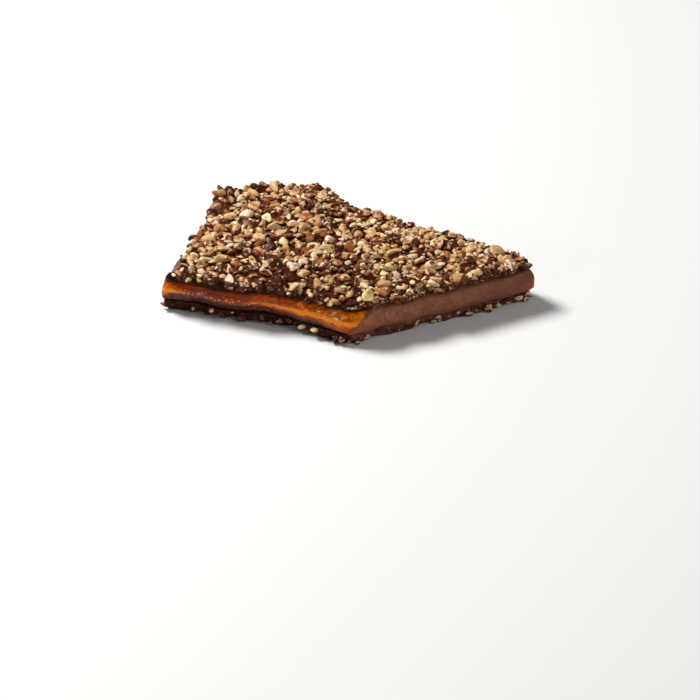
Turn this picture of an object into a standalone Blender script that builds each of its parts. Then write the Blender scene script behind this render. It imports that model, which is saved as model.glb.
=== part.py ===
"""One broken piece of espresso toffee, lying flat: an amber toffee slab between two coats of dark chocolate,
both crowded with chopped roasted nuts. Sizes are in millimetres, and become metres when a mesh is made."""

import math

import bmesh
import bpy
import numpy as np
from mathutils import Euler, Vector
from mathutils.geometry import delaunay_2d_cdt

MM = 0.001

# Heights above the surface that the piece rests on. Each layer stands a hair clear of the next.
BASE_COAT_HEAD = 2.7
LAYER_GAP = 0.3
TOFFEE_THICKNESS = 4.8
TOP_COAT_THICKNESS = 1.9
TOFFEE_FOOT = BASE_COAT_HEAD + LAYER_GAP
TOFFEE_HEAD = TOFFEE_FOOT + TOFFEE_THICKNESS
TOP_COAT_FOOT = TOFFEE_HEAD + LAYER_GAP
TOP_COAT_HEAD = TOP_COAT_FOOT + TOP_COAT_THICKNESS

# Corners of the slab seen from above, anticlockwise: x and y at its upper edge, then how far the lower
# edge has run out from under it, because each side broke along its own slope.
CORNERS = {
    "left tip": (-41.4, -12.4, -0.7, 0.3),
    "front bend": (-24.0, -18.0, 0.0, 0.5),
    "front hollow": (-13.1, -19.6, -0.2, 0.0),
    "front bulge": (0.4, -25.4, -3.6, -0.5),
    "front corner": (4.6, -24.8, -4.6, -2.0),
    "right tip, front": (38.6, -9.9, 0.2, -0.4),
    "right tip": (42.4, -7.5, 0.2, 0.0),
    "right tip, back": (39.4, -4.6, 0.3, 0.5),
    "back notch": (1.2, 16.9, 0.4, 0.7),
    "back shoulder": (-4.9, 24.8, 0.3, 0.6),
    "back crown": (-18.3, 27.5, 0.0, 0.8),
    "back dip": (-25.2, 24.1, 0.0, 0.6),
    "back left": (-31.5, 24.7, -0.4, 0.3),
    "left knee": (-32.9, 13.2, -0.6, 0.1),
}
OUTLINE_STEP = 2.2
FINE_STEPS = 6
ROUNDING_PASSES = 7
FRACTURE_WAVES = ((13.0, 0.30), (5.0, 0.13))
FRACTURE_SEED = 11

# Broken sides of the toffee: how far they stand out at heights between the lower edge, 0, and the upper, 1.
TOFFEE_SIDE = ((0.0, -0.22), (0.06, 0.0), (0.45, 0.14), (0.93, 0.0), (1.0, -0.22))

# Each coat's broken edge is set back from the toffee's by this much, and by up to this much more in places.
COAT_SETBACK = 0.25
COAT_SETBACK_MORE = 0.75
COAT_EDGE_WAVE = 7.0
TOP_EDGE_SEED = 23
BASE_EDGE_SEED = 29

# Where bits of nut are scarcer, as millimetres of room that a spot counts as having lost: in a bell-shaped
# patch behind the front side, in a bare margin along the left side and round the right tip, and for bits above
# a length towards that tip. The left margin narrows from front to back.
PATCH_CENTRE = (-12.0, -14.5)
PATCH_SIZE = (15.0, 4.5)
PATCH_LOSS = 0.7
LEFT_FACING = -0.7
LEFT_MARGIN_AT = (-11.0, 1.0)
LEFT_MARGIN = (3.2, 1.0)
TIP_START = 39.0
TIP_MARGIN = 2.8
MARGIN_LOSS = 6.0
TIP_LENGTH = 2.2
TIP_REACH = 30.0
TIP_LOSS = 1.5

# Each coat's edge: height as a share of the coat, and how far that ring is drawn in.
TOP_COAT_EDGE = ((0.0, 0.0), (0.5, 0.0), (0.86, 0.45))
TOP_COAT_WAVES = ((17.0, 0.26), (7.0, 0.16))
TOP_COAT_SEED = 5
BASE_COAT_EDGE = ((0.0, 0.6), (0.4, 0.1), (1.0, 0.0))
NET_SPACING = 3.6
NET_CLEARANCE = 2.2

# The base coat's underside hangs in broad lumps, and rests on the flattened tips of the lowest.
UNDERSIDE_MEAN = 0.15
UNDERSIDE_WAVES = ((19.0, 0.7), (9.0, 0.3))
UNDERSIDE_HIGHEST = 1.3
UNDERSIDE_SEED = 3

# Chopped nuts, from the longest down: length after the first k bits is SHORTEST + FALL / (1 + k / HALVING).
NUT_SHORTEST = 1.3
NUT_FALL = 2.7
NUT_HALVING = 200
NUT_WIDTH = (0.5, 0.85)
NUT_HEIGHT = (0.42, 0.66)
NUT_LEAN = 0.25
NUT_RAGGED = 0.24
NUT_SUNK = 0.38
NUT_CHOICES = 14
NUT_EDGE_ROOM = 0.5
TOP_NUTS = 175
TOP_NUT_SEED = 109
UNDER_NUTS = 36
UNDER_NUT_SEED = 707
RIM_NUTS = 36
RIM_NUT_SEED = 1303
RIM_NUT_LENGTH = (1.5, 2.6)
NUT_CLEARANCE = 0.05

CHOCOLATE = (0.055, 0.022, 0.012, 1.0)
TOFFEE = (0.47, 0.135, 0.02, 1.0)
ROASTED_NUT = (0.60, 0.37, 0.17, 1.0)


def clear_scene():
    for old in list(bpy.data.objects):
        bpy.data.objects.remove(old, do_unlink=True)


def finish_of(name, colour, roughness):
    material = bpy.data.materials.new(name)
    material.use_nodes = True
    shader = material.node_tree.nodes["Principled BSDF"]
    shader.inputs["Base Color"].default_value = colour
    shader.inputs["Roughness"].default_value = roughness
    shader.inputs["Metallic"].default_value = 0.0
    material.diffuse_color = colour
    return material


def ripple(x, y, wavelength, seed, count=7):
    """A smooth uneven field of about -1 to 1: plane waves added up, in seeded directions and phases."""
    rng = np.random.default_rng(seed)
    heading = rng.uniform(0, 2 * math.pi, count)
    length = wavelength * rng.uniform(0.7, 1.4, count)
    phase = rng.uniform(0, 2 * math.pi, count)
    total = 0
    for h, l, p in zip(heading, length, phase):
        total = total + np.sin(2 * math.pi * (x * math.cos(h) + y * math.sin(h)) / l + p)
    return total * math.sqrt(1 / count)


def rippled(x, y, waves, seed):
    """Ripples of several (wavelength, height) pairs added up."""
    return sum(height * ripple(x, y, wave, seed + k) for k, (wave, height) in enumerate(waves))


def outward(ring):
    """Unit normals of an anticlockwise closed ring, pointing out of it."""
    along = np.roll(ring, -1, axis=0) - np.roll(ring, 1, axis=0)
    normal = np.stack([along[:, 1], -along[:, 0]], axis=1)
    return normal / np.linalg.norm(normal, axis=1)[:, None]


def fine_outline(level):
    """The slab's outline at a level between its lower edge, 0, and its upper edge, 1: straight sides between
    the corners in equal steps, rounded by averaging each point with its neighbours, then pushed in and out
    along their normals by a fracture's waves."""
    corners = np.array(list(CORNERS.values()))
    heads = corners[:, :2]
    here = heads + (1 - level) * corners[:, 2:]
    sides = np.linalg.norm(np.roll(heads, -1, axis=0) - heads, axis=1)
    steps = np.maximum(1, np.round(sides / OUTLINE_STEP)).astype(int) * FINE_STEPS
    ring = np.concatenate(
        [
            start + (end - start) * (np.arange(n) / n)[:, None]
            for start, end, n in zip(here, np.roll(here, -1, axis=0), steps)
        ]
    )
    for _ in range(ROUNDING_PASSES):
        ring = (np.roll(ring, 1, axis=0) + 2 * ring + np.roll(ring, -1, axis=0)) / 4
    return ring + outward(ring) * rippled(*ring.T, FRACTURE_WAVES, FRACTURE_SEED)[:, None]


def outline(level):
    return fine_outline(level)[::FINE_STEPS]


def coat_outline(level, seed):
    """A coat's outline: the toffee's at that level, set back unevenly."""
    ring = fine_outline(level)
    more = np.clip(0.5 + 0.5 * ripple(*ring.T, COAT_EDGE_WAVE, seed), 0, 1)
    return (ring - outward(ring) * (COAT_SETBACK + COAT_SETBACK_MORE * more)[:, None])[::FINE_STEPS]


def top_surface(x, y):
    """Height of the top coat's upper face."""
    return TOP_COAT_HEAD + rippled(x, y, TOP_COAT_WAVES, TOP_COAT_SEED)


def underside(x, y):
    """Height of the base coat's lower face: broad lumps, flattened where they rest."""
    lumps = UNDERSIDE_MEAN + rippled(x, y, UNDERSIDE_WAVES, UNDERSIDE_SEED)
    return np.clip(lumps, 0, UNDERSIDE_HIGHEST)


def at_height(ring, z):
    return np.column_stack([ring, np.broadcast_to(z, len(ring))])


def inside(points, ring):
    """True for points inside a ring: a ray along X from there crosses it an odd number of times."""
    x, y = points[:, :1], points[:, 1:]
    after = np.roll(ring, -1, axis=0)
    spans = (ring[:, 1] > y) != (after[:, 1] > y)
    rise = np.where(after[:, 1] == ring[:, 1], 1, after[:, 1] - ring[:, 1])
    crossing = ring[:, 0] + (y - ring[:, 1]) * (after[:, 0] - ring[:, 0]) / rise
    return (spans & (x < crossing)).sum(axis=1) % 2 == 1


def lattice_within(ring):
    """Points of an even triangular lattice that lie inside a ring, and clear of its corners."""
    low, high = ring.min(axis=0), ring.max(axis=0)
    rows = np.arange(low[1], high[1], NET_SPACING * math.sqrt(3) / 2)
    x, y = np.meshgrid(np.arange(low[0], high[0], NET_SPACING), rows)
    x = x + NET_SPACING / 2 * (np.arange(len(rows)) % 2)[:, None]
    lattice = np.column_stack([x.ravel(), y.ravel()])
    clear = np.linalg.norm(lattice[:, None] - ring, axis=2).min(axis=1) > NET_CLEARANCE
    return lattice[inside(lattice, ring) & clear]


def net(bm, rim, height, upward):
    """Fills a rim of vertices with even triangles, whose inner corners lie at a height given over x and y."""
    ring = np.array([vertex.co[:2] for vertex in rim]) / MM
    points = np.concatenate([ring, lattice_within(ring)])
    sides = [(k, (k + 1) % len(rim)) for k in range(len(rim))]
    flat, _, faces, sources, _, _ = delaunay_2d_cdt([Vector(p) for p in points], sides, [], 0, 1e-6, True)
    corners = []
    for point, source in zip(flat, sources):
        if source[0] < len(rim):
            corners.append(rim[source[0]])
        else:
            corners.append(bm.verts.new(Vector((*point, height(*point))) * MM))
    middles = np.array(flat)[np.array(faces)].mean(axis=1)
    for face, kept in zip(faces, inside(middles, ring)):
        if kept:
            bm.faces.new([corners[k] for k in (face if upward else reversed(face))])


def solid_of(name, rings, material, under=None, over=None):
    """A closed solid through rings of equally many points, in order upwards. Each end is one flat face, or a
    net that follows a height function."""
    bm = bmesh.new()
    rows = [[bm.verts.new(point * MM) for point in ring] for ring in rings]
    around = len(rows[0])
    for low, high in zip(rows, rows[1:]):
        for k in range(around):
            following = (k + 1) % around
            bm.faces.new((low[k], low[following], high[following], high[k]))
    if under:
        net(bm, rows[0], under, upward=False)
    else:
        bm.faces.new(rows[0][::-1])
    if over:
        net(bm, rows[-1], over, upward=True)
    else:
        bm.faces.new(rows[-1])
    bmesh.ops.triangulate(bm, faces=bm.faces)
    mesh = bpy.data.meshes.new(name)
    bm.to_mesh(mesh)
    bm.free()
    mesh.materials.append(material)
    return bpy.data.objects.new(name, mesh)


def toffee_slab(material):
    """The toffee: flat above and below, with sides that broke along their own slopes."""
    rings = []
    for level, proud in TOFFEE_SIDE:
        ring = outline(level)
        rings.append(at_height(ring + outward(ring) * proud, TOFFEE_FOOT + level * TOFFEE_THICKNESS))
    return solid_of("toffee_slab", rings, material)


def top_coat(material):
    """The upper chocolate: flat where it lies on the toffee, a broken edge, and an uneven face."""
    foot = coat_outline(1, TOP_EDGE_SEED)
    rings = []
    for share, drawn_in in TOP_COAT_EDGE:
        ring = foot - outward(foot) * drawn_in
        rings.append(at_height(ring, TOP_COAT_FOOT + share * (top_surface(*ring.T) - TOP_COAT_FOOT)))
    return solid_of("top_coat", rings, material, over=top_surface)


def base_coat(material):
    """The lower chocolate: a lumpy underside, a broken edge, and flat where it meets the toffee."""
    head = coat_outline(0, BASE_EDGE_SEED)
    rings = []
    for share, drawn_in in BASE_COAT_EDGE:
        ring = head - outward(head) * drawn_in
        low = underside(*ring.T)
        rings.append(at_height(ring, low + share * (BASE_COAT_HEAD - low)))
    return solid_of("base_coat", rings, material, under=underside)


def nut_lengths(count):
    return NUT_SHORTEST + NUT_FALL / (1 + np.arange(count) / NUT_HALVING)


def bare_rim(ring):
    """The points of a ring that have a bare margin beside them, and its width at each."""
    left = outward(ring)[:, 0] < LEFT_FACING
    tip = ring[:, 0] > TIP_START
    widths = np.where(tip, TIP_MARGIN, np.interp(ring[:, 1], LEFT_MARGIN_AT, LEFT_MARGIN))
    return ring[left | tip], widths[left | tip]


def unwelcome(spots, length, rim, widths):
    """How much room each spot counts as having lost for a bit of this length."""
    along = (spots[:, 0] - PATCH_CENTRE[0]) / PATCH_SIZE[0]
    across = (spots[:, 1] - PATCH_CENTRE[1]) / PATCH_SIZE[1]
    patch = np.exp(-(along**2) - across**2)
    from_rim = np.linalg.norm(spots[:, None] - rim, axis=2)
    margin = np.clip(1 - (from_rim / widths).min(axis=1), 0, 1)
    coarse = max(0, length - TIP_LENGTH) * np.clip(spots[:, 0] / TIP_REACH, 0, 1)
    return PATCH_LOSS * patch + MARGIN_LOSS * margin + TIP_LOSS * coarse


def spread(lengths, seed):
    """Centres for bits of these lengths, the longest first. Each takes the roomiest of several random spots
    inside the outline."""
    rng = np.random.default_rng(seed)
    ring = outline(1)
    rim, widths = bare_rim(ring)
    reach = np.linalg.norm(ring, axis=1)
    spots = np.zeros((len(lengths), 2))
    for k, length in enumerate(lengths):
        side = rng.integers(0, len(ring), NUT_CHOICES)
        share = np.sqrt(rng.random(NUT_CHOICES)) * (1 - (NUT_EDGE_ROOM + length / 3) / reach[side])
        tries = ring[side] * share[:, None]
        room = np.zeros(NUT_CHOICES)
        if k:
            apart = np.linalg.norm(tries[:, None] - spots[None, :k], axis=2)
            room = (apart - (length + lengths[:k]) / 2).min(axis=1)
        spots[k] = tries[np.argmax(room - unwelcome(tries, length, rim, widths))]
    return spots


def nut_points(chunk, length, rng):
    """A chopped bit about the origin: a chunk's corners jogged, then stretched, leaned and turned."""
    size = np.array([1, rng.uniform(*NUT_WIDTH), rng.uniform(*NUT_HEIGHT)]) * length / 2
    turn = Euler((*rng.normal(0, NUT_LEAN, 2), rng.uniform(0, 2 * math.pi)))
    jogged = chunk * (1 + rng.uniform(-NUT_RAGGED, NUT_RAGGED, chunk.shape))
    return jogged * size @ np.array(turn.to_matrix()).T


def held_between(points, floor, ceiling=math.inf):
    """A bit's points, squashed and shifted along Z to lie between two heights."""
    low, high = points[:, 2].min(), points[:, 2].max()
    squash = min(1, (ceiling - floor) / (high - low))
    foot = np.clip(low, floor, ceiling - squash * (high - low))
    points[:, 2] = foot + squash * (points[:, 2] - low)
    return points


def nut(name, points, pattern, material, collection):
    """One chopped bit as an object: the pattern's faces over its own points."""
    mesh = pattern.copy()
    mesh.name = name
    mesh.vertices.foreach_set("co", (points * MM).ravel())
    mesh.materials.append(material)
    bit = bpy.data.objects.new(name, mesh)
    collection.objects.link(bit)
    return bit


def chunk_mesh():
    """A five-sided chunk, narrower at its upper end, and its corners as an array."""
    bm = bmesh.new()
    bmesh.ops.create_cone(bm, cap_ends=True, cap_tris=False, segments=5, radius1=1.0, radius2=0.62, depth=1.7)
    bmesh.ops.triangulate(bm, faces=bm.faces)
    mesh = bpy.data.meshes.new("chunk")
    bm.to_mesh(mesh)
    bm.free()
    corners = np.array([vertex.co for vertex in mesh.vertices])
    return mesh, corners


def top_nuts(pattern, chunk, material, collection):
    """The largest bits on the top coat, each sunk part of its height into the chocolate."""
    lengths = nut_lengths(TOP_NUTS)
    for k, ((x, y), length) in enumerate(zip(spread(lengths, TOP_NUT_SEED), lengths)):
        points = nut_points(chunk, length, np.random.default_rng(TOP_NUT_SEED + k))
        low, high = points[:, 2].min(), points[:, 2].max()
        points += (x, y, top_surface(x, y) - low - NUT_SUNK * (high - low))
        points = held_between(points, TOP_COAT_FOOT + NUT_CLEARANCE)
        nut(f"top_nut_{k}", points, pattern, material, collection)


def base_nuts(pattern, chunk, material, collection):
    """Bits in the base coat, some under it and some along its broken edge, held between the surface that the
    piece rests on and the toffee."""
    floor, ceiling = NUT_CLEARANCE, BASE_COAT_HEAD - NUT_CLEARANCE
    lengths = nut_lengths(UNDER_NUTS)
    for k, ((x, y), length) in enumerate(zip(spread(lengths, UNDER_NUT_SEED), lengths)):
        points = nut_points(chunk, length, np.random.default_rng(UNDER_NUT_SEED + k))
        low, high = points[:, 2].min(), points[:, 2].max()
        points += (x, y, underside(x, y) - low - (1 - NUT_SUNK) * (high - low))
        nut(f"under_nut_{k}", held_between(points, floor, ceiling), pattern, material, collection)
    rng = np.random.default_rng(RIM_NUT_SEED)
    rim = coat_outline(0, BASE_EDGE_SEED)
    for k in range(RIM_NUTS):
        length = rng.uniform(*RIM_NUT_LENGTH)
        x, y = rim[int((k + rng.random()) / RIM_NUTS * len(rim))]
        points = nut_points(chunk, length, rng)
        points += (x, y, rng.uniform(underside(x, y) + length / 4, ceiling - length / 4))
        nut(f"rim_nut_{k}", held_between(points, floor, ceiling), pattern, material, collection)


def fuse(coat, bits):
    """Joins the nuts to their coat in one union, then keeps only the outer skin of what is joined: sealed
    hollows are filled and loose scraps dropped."""
    union = coat.modifiers.new("nuts", "BOOLEAN")
    union.operation = "UNION"
    union.operand_type = "COLLECTION"
    union.collection = bits
    union.material_mode = "TRANSFER"
    bpy.context.view_layer.update()
    joined = bpy.data.meshes.new_from_object(coat.evaluated_get(bpy.context.evaluated_depsgraph_get()))
    coat.modifiers.clear()
    coat.data = joined
    for bit in list(bits.objects):
        bpy.data.objects.remove(bit, do_unlink=True)
    bpy.data.collections.remove(bits)
    keep_outer_skin(joined)


def keep_outer_skin(mesh):
    """Deletes every island of faces but the largest."""
    bm = bmesh.new()
    bm.from_mesh(mesh)
    unseen = set(bm.faces)
    islands = []
    while unseen:
        island = {unseen.pop()}
        frontier = list(island)
        while frontier:
            face = frontier.pop()
            near = {other for edge in face.edges for other in edge.link_faces} & unseen
            unseen -= near
            island |= near
            frontier.extend(near)
        islands.append(island)
    largest = max(islands, key=len)
    bmesh.ops.delete(bm, geom=[face for face in bm.faces if face not in largest], context="FACES")
    bmesh.ops.triangulate(bm, faces=bm.faces)
    bm.to_mesh(mesh)
    bm.free()


def centre_on_origin(solids):
    """Moves every solid alike, so that the middle of the piece's box stands over the origin."""
    points = np.concatenate([[vertex.co for vertex in solid.data.vertices] for solid in solids])
    middle = (points.min(axis=0) + points.max(axis=0)) / 2
    for solid in solids:
        solid.location = (-middle[0], -middle[1], 0)


def main():
    clear_scene()
    chocolate = finish_of("dark_chocolate", CHOCOLATE, 0.45)
    amber = finish_of("toffee", TOFFEE, 0.25)
    roasted = finish_of("roasted_nut", ROASTED_NUT, 0.6)
    piece = bpy.data.collections.new("espresso_toffee")
    bpy.context.scene.collection.children.link(piece)
    pattern, chunk = chunk_mesh()
    solids = [base_coat(chocolate), toffee_slab(amber), top_coat(chocolate)]
    for solid in solids:
        piece.objects.link(solid)
    for coat, nuts in ((solids[0], base_nuts), (solids[2], top_nuts)):
        bits = bpy.data.collections.new("bits")
        bpy.context.scene.collection.children.link(bits)
        nuts(pattern, chunk, roasted, bits)
        fuse(coat, bits)
    centre_on_origin(solids)
    bpy.data.meshes.remove(pattern)


main()
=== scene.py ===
import math

import bmesh
import bpy
import numpy as np
from mathutils import Euler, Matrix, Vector
from mathutils.bvhtree import BVHTree


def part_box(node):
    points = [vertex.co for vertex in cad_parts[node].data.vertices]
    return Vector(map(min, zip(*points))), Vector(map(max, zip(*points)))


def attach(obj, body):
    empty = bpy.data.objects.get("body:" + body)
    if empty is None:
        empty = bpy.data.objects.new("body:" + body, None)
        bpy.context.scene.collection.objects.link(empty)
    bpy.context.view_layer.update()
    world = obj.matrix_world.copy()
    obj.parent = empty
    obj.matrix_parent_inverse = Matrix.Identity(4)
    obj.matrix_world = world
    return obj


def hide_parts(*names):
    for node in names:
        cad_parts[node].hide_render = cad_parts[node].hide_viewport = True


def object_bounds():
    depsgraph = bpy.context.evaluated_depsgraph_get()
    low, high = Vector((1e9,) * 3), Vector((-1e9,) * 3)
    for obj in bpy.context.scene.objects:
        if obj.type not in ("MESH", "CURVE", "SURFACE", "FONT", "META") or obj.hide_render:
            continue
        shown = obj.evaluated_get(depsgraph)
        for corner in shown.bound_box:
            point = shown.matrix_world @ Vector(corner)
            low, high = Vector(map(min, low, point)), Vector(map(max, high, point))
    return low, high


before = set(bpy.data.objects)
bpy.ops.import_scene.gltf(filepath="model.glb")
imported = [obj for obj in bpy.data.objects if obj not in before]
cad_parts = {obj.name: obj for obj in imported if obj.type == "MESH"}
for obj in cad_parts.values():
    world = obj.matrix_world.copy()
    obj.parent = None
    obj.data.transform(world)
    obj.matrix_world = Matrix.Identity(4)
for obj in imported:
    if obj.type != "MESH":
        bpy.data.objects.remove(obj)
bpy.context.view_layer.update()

MM = 0.001

# The toffee. Butter and sugar boiled hard, poured out as a slab and broken by hand, so every side is a
# fracture. One front side is clean glassy amber. The others were smeared with chocolate as they broke.

# Corners of the slab seen from above, in millimetres, anticlockwise from the left tip: x and y at the upper
# edge, then how far the lower edge has run out from under it.
CORNERS = np.array([
    (-41.4, -12.4, -0.7, 0.3), (-24.0, -18.0, 0.0, 0.5), (-13.1, -19.6, -0.2, 0.0), (0.4, -25.4, -3.6, -0.5),
    (4.6, -24.8, -4.6, -2.0), (38.6, -9.9, 0.2, -0.4), (42.4, -7.5, 0.2, 0.0), (39.4, -4.6, 0.3, 0.5),
    (1.2, 16.9, 0.4, 0.7), (-4.9, 24.8, 0.3, 0.6), (-18.3, 27.5, 0.0, 0.8), (-25.2, 24.1, 0.0, 0.6),
    (-31.5, 24.7, -0.4, 0.3), (-32.9, 13.2, -0.6, 0.1),
])
CLEAN_SIDE, SMEARED_SIDE, TIP, LEFT_SIDE = (0, 1, 2, 3), (4,), (5, 6), (12, 13)
OUTLINE_STEP = 2.2
FINE_STEPS = 6
FRACTURE_WAVES = ((13.0, 0.30), (5.0, 0.13))
FRACTURE_SEED = 11

toffee_low, toffee_high = (np.array(corner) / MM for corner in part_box("toffee_slab"))
TOFFEE_FOOT, TOFFEE_HEAD = toffee_low[2], toffee_high[2]
LAYER_GAP = 0.3


def ripple(x, y, wavelength, seed, count=7):
    """Plane waves added up, in seeded directions and phases: a smooth uneven field of about -1 to 1."""
    rng = np.random.default_rng(seed)
    heading = rng.uniform(0, 2 * math.pi, count)
    length = wavelength * rng.uniform(0.7, 1.4, count)
    phase = rng.uniform(0, 2 * math.pi, count)
    total = 0
    for turn, reach, start in zip(heading, length, phase):
        total = total + np.sin(2 * math.pi * (x * math.cos(turn) + y * math.sin(turn)) / reach + start)
    return total * math.sqrt(1 / count)


def rippled(x, y, waves, seed):
    """Ripples of several (wavelength, height) pairs added up."""
    return sum(height * ripple(x, y, wave, seed + k) for k, (wave, height) in enumerate(waves))


def grain(points, size, seed):
    """Random numbers of -1 to 1 at the corners of a lattice with cells of this size, blended inside each
    cell by a smooth step along each axis."""
    table = np.random.default_rng(seed).uniform(-1, 1, (32, 32, 32))
    cell = points / size
    low = np.floor(cell).astype(int)
    share = cell - low
    share = share * share * (3 - 2 * share)
    total = 0
    for corner in np.ndindex(2, 2, 2):
        weight = np.prod(np.where(corner, share, 1 - share), axis=-1)
        i, j, k = np.moveaxis((low + corner) % 32, -1, 0)
        total = total + weight * table[i, j, k]
    return total


def smooth_step(value, low, high):
    """0 below low, 1 above high, and a cubic blend between."""
    share = np.clip((value - low) / (high - low), 0, 1)
    return share * share * (3 - 2 * share)


def averaged(ring, passes):
    """A closed row of values. In each pass every value becomes half of itself and a quarter of each of its
    two neighbours."""
    for _ in range(passes):
        ring = (np.roll(ring, 1, axis=0) + 2 * ring + np.roll(ring, -1, axis=0)) / 4
    return ring


def outward(ring):
    """Unit normals of an anticlockwise ring: its direction from the point before to the point after, turned
    a quarter turn to the right."""
    along = np.roll(ring, -1, axis=0) - np.roll(ring, 1, axis=0)
    normal = np.stack([along[:, 1], -along[:, 0]], axis=1)
    return normal / np.linalg.norm(normal, axis=1)[:, None]


side_lengths = np.linalg.norm(np.roll(CORNERS[:, :2], -1, axis=0) - CORNERS[:, :2], axis=1)
side_steps = np.maximum(1, np.round(side_lengths / OUTLINE_STEP)).astype(int) * FINE_STEPS
side_of_point = np.repeat(np.arange(len(CORNERS)), side_steps)


def outline(level):
    """Straight sides between the corners at a level between the lower edge, 0, and the upper, 1, rounded by
    averaging, then pushed in and out along their normals by the fracture's waves."""
    here = CORNERS[:, :2] + (1 - level) * CORNERS[:, 2:]
    share = np.concatenate([np.arange(n) / n for n in side_steps])[:, None]
    ring = here[side_of_point] * (1 - share) + np.roll(here, -1, axis=0)[side_of_point] * share
    ring = averaged(ring, 7)
    return ring + outward(ring) * rippled(*ring.T, FRACTURE_WAVES, FRACTURE_SEED)[:, None]


def on_sides(sides, passes=5):
    """1 along the named sides of the outline and 0 along the others, blended where they meet."""
    return averaged(np.isin(side_of_point, sides).astype(float), passes)


outline_head = outline(1)
plan = np.concatenate([outline_head, outline(0)])
plan_shift = (toffee_low + toffee_high)[:2] / 2 - (plan.min(axis=0) + plan.max(axis=0)) / 2


def placed(points):
    """Points of the outline's own frame, in millimetres, moved to the frame's place and into metres."""
    moved = np.array(points, dtype=float)
    moved[..., :2] += plan_shift
    return moved * MM


def linked(name, data):
    """A new object with this data, in the scene."""
    piece = bpy.data.objects.new(name, data)
    bpy.context.scene.collection.objects.link(piece)
    return piece


def shell(name, rows, material):
    """A closed surface through rows of equally many points, from its lowest row to its highest by way of
    the outside. The middle of each end row is a pole."""
    rows = np.asarray(rows)
    count, around, _ = rows.shape
    poles = np.stack([rows[0].mean(axis=0), rows[-1].mean(axis=0)])
    points = placed(np.concatenate([rows.reshape(-1, 3), poles]))
    here = np.arange(count * around).reshape(count, around)
    after = np.roll(here, -1, axis=1)
    quads = np.stack([here[:-1], after[:-1], after[1:], here[1:]], axis=-1).reshape(-1, 4)
    foot = np.stack([after[0], here[0], np.full(around, count * around)], axis=-1)
    head = np.stack([here[-1], after[-1], np.full(around, count * around + 1)], axis=-1)
    mesh = bpy.data.meshes.new(name)
    mesh.from_pydata(points, [], quads.tolist() + foot.tolist() + head.tolist())
    mesh.shade_smooth()
    mesh.materials.append(material)
    return linked(name, mesh)


def paint(piece, name, values):
    """Puts one number for each point into an attribute of the mesh, with zeros for what is left over."""
    values = np.asarray(values, dtype=float).ravel()
    padded = np.zeros(len(piece.data.vertices))
    padded[: len(values)] = values
    piece.data.attributes.new(name, "FLOAT", "POINT").data.foreach_set("value", padded)


class Finish:
    """A node tree, either a material's or a group's, and short ways to add nodes to it."""

    def __init__(self, tree):
        self.tree = tree

    def node(self, kind, settings=(), **inputs):
        """A node with its own settings, and inputs that are linked or set by name, with _ for a space."""
        node = self.tree.nodes.new(kind)
        for key, value in dict(settings).items():
            setattr(node, key, value)
        for key, value in inputs.items():
            self.feed(node.inputs[key.replace("_", " ")], value)
        return node

    def feed(self, socket, value):
        """Links a socket to another one, or sets it to a constant."""
        if isinstance(value, bpy.types.NodeSocket):
            self.tree.links.new(value, socket)
        else:
            socket.default_value = value

    def attribute(self, name):
        return self.node("ShaderNodeAttribute", {"attribute_name": name}).outputs["Fac"]

    def ramp(self, value, low, high, to_low=0.0, to_high=1.0):
        """Maps a value from one range to another with a smooth step, held at the ends."""
        return self.node(
            "ShaderNodeMapRange", {"interpolation_type": "SMOOTHSTEP"},
            Value=value, From_Min=low, From_Max=high, To_Min=to_low, To_Max=to_high,
        ).outputs["Result"]

    def maths(self, operation, *values):
        node = self.node("ShaderNodeMath", {"operation": operation})
        for socket, value in zip(node.inputs, values):
            self.feed(socket, value)
        return node.outputs["Value"]

    def mix(self, share, a, b):
        """Two colours mixed by a share."""
        node = self.node("ShaderNodeMix", {"data_type": "RGBA"})
        for k, value in ((0, share), (6, a), (7, b)):
            self.feed(node.inputs[k], value)
        return node.outputs[2]

    def place(self, group, **inputs):
        """A group placed in this tree with its own values."""
        return self.node("ShaderNodeGroup", {"node_tree": group}, **inputs).outputs


def new_group(name, inputs, outputs):
    """An empty node group with named sockets, and its own input and output nodes."""
    tree = bpy.data.node_groups.new(name, "ShaderNodeTree")
    for way, sockets in (("INPUT", inputs), ("OUTPUT", outputs)):
        for label, kind in sockets:
            tree.interface.new_socket(name=label, in_out=way, socket_type=kind)
    finish = Finish(tree)
    return finish, tree.nodes.new("NodeGroupInput").outputs, tree.nodes.new("NodeGroupOutput").inputs


FLOAT, VECTOR = "NodeSocketFloat", "NodeSocketVector"

# A mask whose edge is frayed by noise: where a smear, a skin or dust stops.
frayed, given, result = new_group(
    "frayed_edge",
    (("Place", VECTOR), ("Mask", FLOAT), ("Scale", FLOAT), ("Fray", FLOAT)),
    (("Mask", FLOAT),),
)
frayed_noise = frayed.node(
    "ShaderNodeTexNoise", Vector=given["Place"], Scale=given["Scale"], Detail=4.0, Roughness=0.6
).outputs["Fac"]
frayed_shift = frayed.maths("MULTIPLY", frayed.maths("SUBTRACT", frayed_noise, 0.5), given["Fray"])
frayed.feed(result["Mask"], frayed.ramp(frayed.maths("ADD", given["Mask"], frayed_shift), 0.38, 0.62))
FRAYED_EDGE = frayed.tree

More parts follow.
